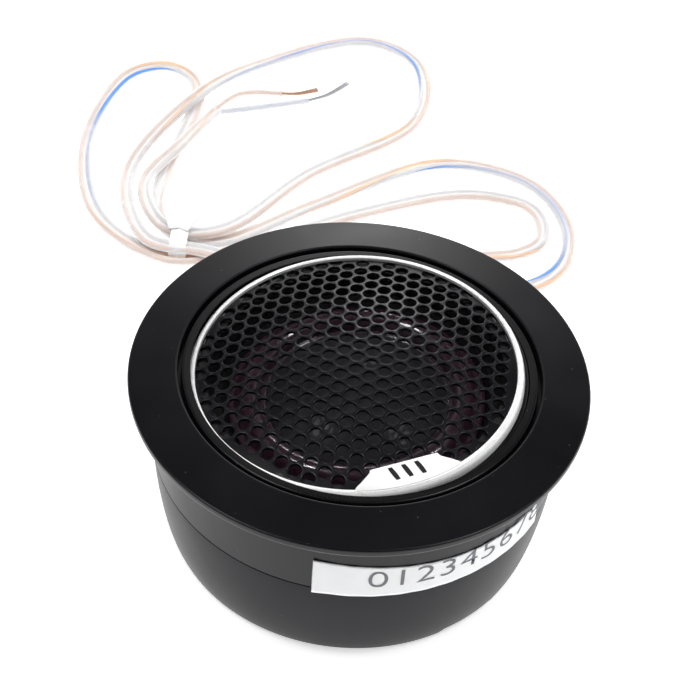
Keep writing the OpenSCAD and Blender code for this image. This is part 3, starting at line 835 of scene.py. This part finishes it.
BALL_R, SEAT_R = 24.5, 24.58
BALL_LOW, BALL_HIGH = -7, 8.4
BALL_BORE = 21.6
TRIM_OUT, TRIM_IN, TRIM_TOP = 22.5, 21.55, 9.95
SEAT_LOW, SEAT_HIGH, SEAT_STEPS, RUNNING_GAP = 22.4, 28.1, 24, 0.1


def sphere_wall(radius, low, high):
    """Points up the outside of a sphere about the ball's middle, by Pythagoras: (radius, height)."""
    height = np.linspace(low, high, SEAT_STEPS)
    return list(zip(np.sqrt(radius ** 2 - height ** 2), height))


def make_socket_ring():
    """Ring with the ball's round seat inside it and a rounded land in the flange's lip."""
    low, high = SEAT_LOW - BALL_MIDDLE[2], SEAT_HIGH - BALL_MIDDLE[2]
    shoulder = LIP_TOP - LIP_THICK - RUNNING_GAP - BALL_MIDDLE[2]
    land, outside = LIP_R - 0.5, BORE_R - 0.07
    outline = [*sphere_wall(SEAT_R, high, low), (outside, low), (outside, shoulder), (land, shoulder),
               (land, high)]
    radii = [0.1, *[1.0] * (SEAT_STEPS - 2), 0.1, 0.1, 0.1, 0.05, 0.35]
    turned("socket_seat", rounded(outline, radii, 4), place=lambda p: p + [0, 0, BALL_MIDDLE[2]],
           finish=socket_black, body="swivel_ring", slot="socket_plastic", replaces=["socket_ring"])


def make_ball():
    """Shell of the ball, turned, with a small round on its upper edge."""
    outline = [*sphere_wall(BALL_R, BALL_LOW, BALL_HIGH), (BALL_BORE, BALL_HIGH), (BALL_BORE, BALL_LOW)]
    radii = [0.15, *[1.0] * (SEAT_STEPS - 2), 0.2, 0.1, 0.1]
    turned("ball_skin", rounded(outline, radii, 4), place=in_ball, finish=socket_black, body="ball",
           slot="ball_plastic", replaces=["ball_shell"])


PLATE_AZIMUTH = -68
PLATE_REACH = 18.8
PLATE_HALF, PLATE_FOOT = 4.5, 7.1
PLATE_RISE, PLATE_THICK = 0.95, 0.5
BARS, BAR_PITCH, BAR_STEPS = (-1, 0, 1), 1.75, (9, 5)


def make_trim():
    """Bright ring round the grille, with softly rounded edges."""
    outline = [(TRIM_IN, BALL_HIGH), (TRIM_OUT + 0.1, BALL_HIGH), (TRIM_OUT, TRIM_TOP - 0.75),
               (TRIM_OUT - 0.15, TRIM_TOP - 0.35), (TRIM_OUT - 0.5, TRIM_TOP), (TRIM_IN + 0.15, TRIM_TOP),
               (TRIM_IN, TRIM_TOP - 0.1)]
    turned("trim_band", rounded(outline, [0.05, 0.1, 0.2, 0.2, 0.2, 0.1, 0.05]), place=in_ball,
           finish=trim_metal, body="ball", slot="trim_metal", replaces=["trim_ring"])


def plate_point(across, inward):
    """Badge plate's shape in two parameters: across from -1 to 1 and inward from 0 at the ring to 1 at its
    straight edge. Its half-width shrinks from the foot to the edge in an S, and it climbs inwards."""
    ease = inward * inward * (3 - 2 * inward)
    half = PLATE_FOOT + (PLATE_HALF - PLATE_FOOT) * ease
    y = across * half
    ring_x = np.sqrt((TRIM_IN + 0.35) ** 2 - y ** 2)
    x = ring_x + (PLATE_REACH - ring_x) * inward
    return x, y, TRIM_TOP + 0.12 + PLATE_RISE * (1 - (1 - inward) ** 1.5)


def plate_place(x, y, z):
    """Points beside the plate's middle line turned to its azimuth and put on the ball."""
    turn = np.radians(PLATE_AZIMUTH)
    x, y, z = np.broadcast_arrays(x, y, z)
    points = np.stack([x * np.cos(turn) - y * np.sin(turn), x * np.sin(turn) + y * np.cos(turn), z], -1)
    return in_ball(points)


def make_plate():
    """Badge plate: top and underside half a millimetre apart, closed round the edge. The top drops at the
    very edge by a high power of the distance from the middle, for a small round."""
    across = np.linspace(-1, 1, 41)[:, None]
    inward = np.concatenate([[0, 0.01], np.linspace(0.04, 0.96, 18), [0.99, 1]])[None, :]
    x, y, z = plate_point(across, inward)
    edge = np.maximum(np.abs(across), inward) ** 60 * 0.12
    top, under = z - edge, z - PLATE_THICK
    loop = np.concatenate([plate_place(x, y, top), plate_place(x, y, under)[:, ::-1]], 1)
    closed_tube("badge_plate", loop, finish=pearl_plate(), body="ball", slot="trim_metal")
    make_emblem()


def make_emblem():
    """Plain mark on the plate: three slanted bars a hair above its surface, in parameters u along and v
    across; a bar narrows with the square of u."""
    rows, columns = BAR_STEPS
    u, v = np.meshgrid(np.linspace(-1, 1, rows), np.linspace(-1, 1, columns), indexing="ij")
    points, faces = [], []
    for k in BARS:
        long = u * 0.85
        wide = v * (0.34 - 0.06 * u ** 2) + 0.35 * long
        inward = 0.56 - long * 0.33
        x, _, z = plate_point(0 * u, inward)
        y = k * BAR_PITCH + wide
        faces.append(quads(rows, columns) + len(points) * rows * columns)
        points.append(plate_place(x, y, z + 0.03).reshape(-1, 3))
    put("emblem_bars", np.concatenate(points), np.concatenate(faces),
        finish=print_ink("emblem_ink", (0.006, 0.006, 0.007), 0.1), body="ball", slot="emblem_ink",
        replaces=["badge_emblem"])


HOLE_PITCH, HOLE_R, HOLE_TURN = 2.2, 0.9, 26.4
HOLE_SHIFT = np.array([0.25, -0.45])
CELL_STEPS, HOLE_LIP = 24, 0.11
GRILLE_R, GRILLE_EDGE, GRILLE_CROWN, GRILLE_THICK = 21.45, 9.5, 2.7, 0.5
GRILLE_SPHERE = (GRILLE_R ** 2 + GRILLE_CROWN ** 2) / (2 * GRILLE_CROWN)


def make_grille():
    """Pierced dome as hexagonal cells that share their borders. In a cell a hole's wall and rounded lips
    are a profile carried round the hole, from the cell's border on top to its border below. Cells whose
    middle is at the rim or past it have no hole. Points beyond the rim are drawn in to it, and all are
    lifted onto a sphere."""
    count = int(GRILLE_R / HOLE_PITCH) + 3
    i, j = np.meshgrid(np.arange(-2 * count, 2 * count + 1), np.arange(-2 * count, 2 * count + 1))
    turn = np.radians(HOLE_TURN)
    along, aside = HOLE_PITCH * (i + j / 2).ravel(), HOLE_PITCH * (j * math.sqrt(3) / 2).ravel()
    cosine, sine = np.cos(turn), np.sin(turn)
    middle = np.stack([along * cosine - aside * sine, along * sine + aside * cosine], 1) + HOLE_SHIFT
    far = np.linalg.norm(middle, axis=1)
    last = GRILLE_R - 0.3 * HOLE_R
    pierced = middle[far < last]
    blank = middle[(far >= last) & (far < GRILLE_R + 0.7 * HOLE_PITCH)]
    step = 360 / CELL_STEPS * np.arange(CELL_STEPS)
    angle = turn + np.radians(30 + step)
    border = HOLE_PITCH / 2 / np.cos(np.radians(step % 60 - 30))
    lip = HOLE_LIP
    arc = np.radians([0, 30, 60, 90])
    inner = np.concatenate([HOLE_R + lip - lip * np.sin(arc), HOLE_R + lip - lip * np.sin(arc[::-1])])
    depth = np.concatenate([-lip + lip * np.cos(arc), -GRILLE_THICK + lip - lip * np.cos(arc[::-1])])
    inner = np.broadcast_to(inner, (CELL_STEPS, len(inner)))
    radii = np.concatenate([border[:, None], inner, border[:, None]], 1)
    drops = np.concatenate([[0], depth, [-GRILLE_THICK]])
    plain = border[:, None] * np.array([1, 0.5, 0, 0, 0.5, 1])
    plain_drops = np.array([0, 0, 0, -1, -1, -1]) * GRILLE_THICK
    points, faces, total = [], [], 0
    for centres, spread, drop in ((pierced, radii, drops), (blank, plain, plain_drops)):
        ring = np.stack([np.cos(angle), np.sin(angle)], 1)[None, :, None] * spread[None, :, :, None]
        flat = centres[:, None, None] + ring
        reach = np.linalg.norm(flat, axis=-1, keepdims=True)
        flat = flat * np.minimum(1, GRILLE_R / np.maximum(reach, 1e-6))
        reach = np.minimum(reach[..., 0], GRILLE_R)
        rise = GRILLE_EDGE + GRILLE_CROWN - GRILLE_SPHERE + np.sqrt(GRILLE_SPHERE ** 2 - reach ** 2)
        cells = np.concatenate([flat, (rise + drop)[..., None]], -1)
        columns = spread.shape[1]
        cell = quads(CELL_STEPS, columns, around_rows=True)
        if centres is blank:
            column = cell % columns
            cell = cell[~((column == 2).any(1) & (column == 3).any(1))]
        size = CELL_STEPS * columns
        faces.append((cell[None] + (total + size * np.arange(len(centres)))[:, None, None]).reshape(-1, 4))
        points.append(cells.reshape(-1, 3))
        total += len(centres) * size
    put("grille_sheet", in_ball(np.concatenate(points)), np.concatenate(faces), finish=painted_grille(),
        body="ball", slot="grille_paint", replaces=["grille"], weld=True)


def make_dome():
    """Soft dome, its surround's half-roll, and the plate and foam around them, all turned. The dome is a
    sphere's cap, by Pythagoras, and the roll half an ellipse, by sine and cosine."""
    dome_low, dome_rise, dome_r = 3.8, 4.2, 12.5
    sphere = (dome_r ** 2 + dome_rise ** 2) / (2 * dome_rise)
    radius = np.linspace(0, dome_r, 40)
    top = dome_low + dome_rise - sphere + np.sqrt(sphere ** 2 - radius ** 2)
    skin = np.concatenate([np.stack([radius, top - 0.25], 1), np.stack([radius, top], 1)[::-1]])
    turned("dome_skin", skin, place=in_ball, finish=woven_dome(), body="diaphragm", slot="dome_silk",
           replaces=["dome"], weld=True)
    angle = np.linspace(np.pi, 0, 28)
    middle, outer, inner = 14.75, 1.75, 1.5
    over = np.stack([middle + outer * np.cos(angle), dome_low + 1.15 * outer * np.sin(angle)], 1)
    under = np.stack([middle + inner * np.cos(angle), dome_low - 0.05 + 1.15 * inner * np.sin(angle)], 1)
    seam = [(12.55, dome_low - 0.05), (12.9, dome_low)]
    rim = [(16.9, dome_low + 0.1), (17.5, dome_low + 0.1), (17.5, dome_low - 0.02), (16.4, dome_low - 0.02)]
    seam_under = [(12.9, dome_low - 0.25), (12.55, dome_low - 0.25)]
    roll = np.concatenate([seam, over, rim, under[::-1], seam_under])[::-1]
    turned("surround_roll", roll, place=in_ball, finish=damped_surround(), body="diaphragm",
           slot="surround_coat", replaces=["surround"])
    outline = [(13.4, 2.0), (21.5, 2.0), (21.5, 4.6), (18.4, 4.6), (17.6, 3.5), (16.6, 3.5), (16.6, 3.0),
               (13.4, 3.0)]
    turned("baffle_face", rounded(outline, 0.12), place=in_ball, finish=inner_black, body="ball",
           slot="inner_plastic")
    outline = [(19.9, 4.6), (21.4, 4.6), (21.4, 8.9), (19.9, 8.9)]
    turned("gasket_foam", rounded(outline, 0.3), place=in_ball, finish=foam_grey, body="ball", slot="foam",
           replaces=["gasket_ring"])


make_socket_ring()
make_ball()
make_trim()
make_plate()
make_grille()
make_dome()

felt_grey = soft_foam("felt_grey", (0.1, 0.1, 0.1))
cad_finishes = {
    "pressure_ring": inner_black, "foam_ring": foam_grey, "cable_grommet": soft_bush,
    "inner_lead": lead_clear, "ball_rear_cap": inner_black, "cap_screws": bright_zinc,
    "baffle_plate": inner_black, "yoke": motor_steel, "magnet": magnet_nickel,
    "top_plate": motor_steel, "damping_pad": felt_grey, "terminal_board": pressed_board(),
    "terminal_tags": tinned, "voice_coil_leads": enamelled, "ball_lead": lead_clear,
    "coil_former": foil, "voice_coil": enamelled}
for node, finish in cad_finishes.items():
    data = frame["nodes"][node].data
    data.materials.clear()
    data.materials.append(finish)


# ---- Table and light ----

TABLE_REACH = 2.5
WHITE_BELOW, DARK_ABOVE = math.radians(12), math.radians(34)
BRIGHT_SIDE = (0.45, 0.89, 0)


def make_table():
    """Pale lit table top, with a faint unevenness."""
    finish = Finish("table_white", Specular_IOR_Level=0.1)
    cloud = finish.noise(finish.place(), 6, 2)
    material = finish.done(Base_Color=finish.mix(cloud, (0.86, 0.86, 0.87), (0.9, 0.9, 0.9)), Roughness=0.7,
                           Emission_Color=(1, 1, 1), Emission_Strength=0.62)
    mesh = bpy.data.meshes.new("table")
    reach = TABLE_REACH
    corners = [(-reach, -reach, 0), (reach, -reach, 0), (reach, reach, 0), (-reach, reach, 0)]
    mesh.from_pydata(corners, [], [(0, 1, 2, 3)])
    mesh.materials.append(material)
    show("table", mesh)


def make_light():
    """Surroundings that are white low down, brightest behind and a little to the right, and dark above; a
    lamp low behind for the gloss, small ones above on both sides for the surround, and a broad one overhead
    that lights what is matt and leaves no reflection."""
    world = bpy.data.worlds.new("studio")
    world.use_nodes = True
    bpy.context.scene.world = world
    tree = world.node_tree
    background = tree.nodes["Background"]
    split = tree.nodes.new("ShaderNodeSeparateXYZ")
    tree.links.new(tree.nodes.new("ShaderNodeTexCoord").outputs["Generated"], split.inputs[0])
    shades = []
    bright_side = tree.nodes.new("ShaderNodeVectorMath")
    bright_side.operation = "DOT_PRODUCT"
    bright_side.inputs[1].default_value = BRIGHT_SIDE
    tree.links.new(split.inputs[0].links[0].from_socket, bright_side.inputs[0])
    by_height = (split.outputs[2], (math.sin(WHITE_BELOW), math.sin(DARK_ABOVE), 1.0, 0.01))
    by_side = (bright_side.outputs["Value"], (-0.6, 0.9, 0.25, 1.4))
    for source, span in (by_height, by_side):
        shade = tree.nodes.new("ShaderNodeMapRange")
        shade.interpolation_type = "SMOOTHSTEP"
        for socket, value in enumerate(span, 1):
            shade.inputs[socket].default_value = value
        tree.links.new(source, shade.inputs[0])
        shades.append(shade.outputs[0])
    product = tree.nodes.new("ShaderNodeMath")
    product.operation = "MULTIPLY"
    for socket, shade in enumerate(shades):
        tree.links.new(shade, product.inputs[socket])
    tree.links.new(product.outputs[0], background.inputs["Strength"])
    background.inputs["Color"].default_value = (1, 1, 1, 1)
    make_lamp("lamp_behind", (-0.02, 1.08, 0.66), 0.25, 1.5, True)
    make_lamp("lamp_overhead", (-0.05, 0.1, 1.0), 1.1, 7.5, False)
    for side, spot in (("left", (-0.5, -0.05, 0.95)), ("right", (0.5, -0.05, 0.95))):
        make_lamp(f"lamp_{side}", spot, 0.3, 3.2, True)
    bpy.context.scene.view_settings.view_transform = "Standard"


def make_lamp(name, spot, size, power, seen_in_gloss):
    """Round lamp that points at the middle of the table."""
    data = bpy.data.lights.new(name, "AREA")
    data.shape, data.size, data.energy = "DISK", size, power
    lamp = show(name, data)
    back = np.array(spot) / np.linalg.norm(spot)
    right = np.cross([0, 1, 0], back)
    right = right / np.linalg.norm(right)
    stand(lamp, [right, np.cross(back, right), back], spot)
    lamp.visible_glossy = seen_in_gloss


make_table()
make_light()
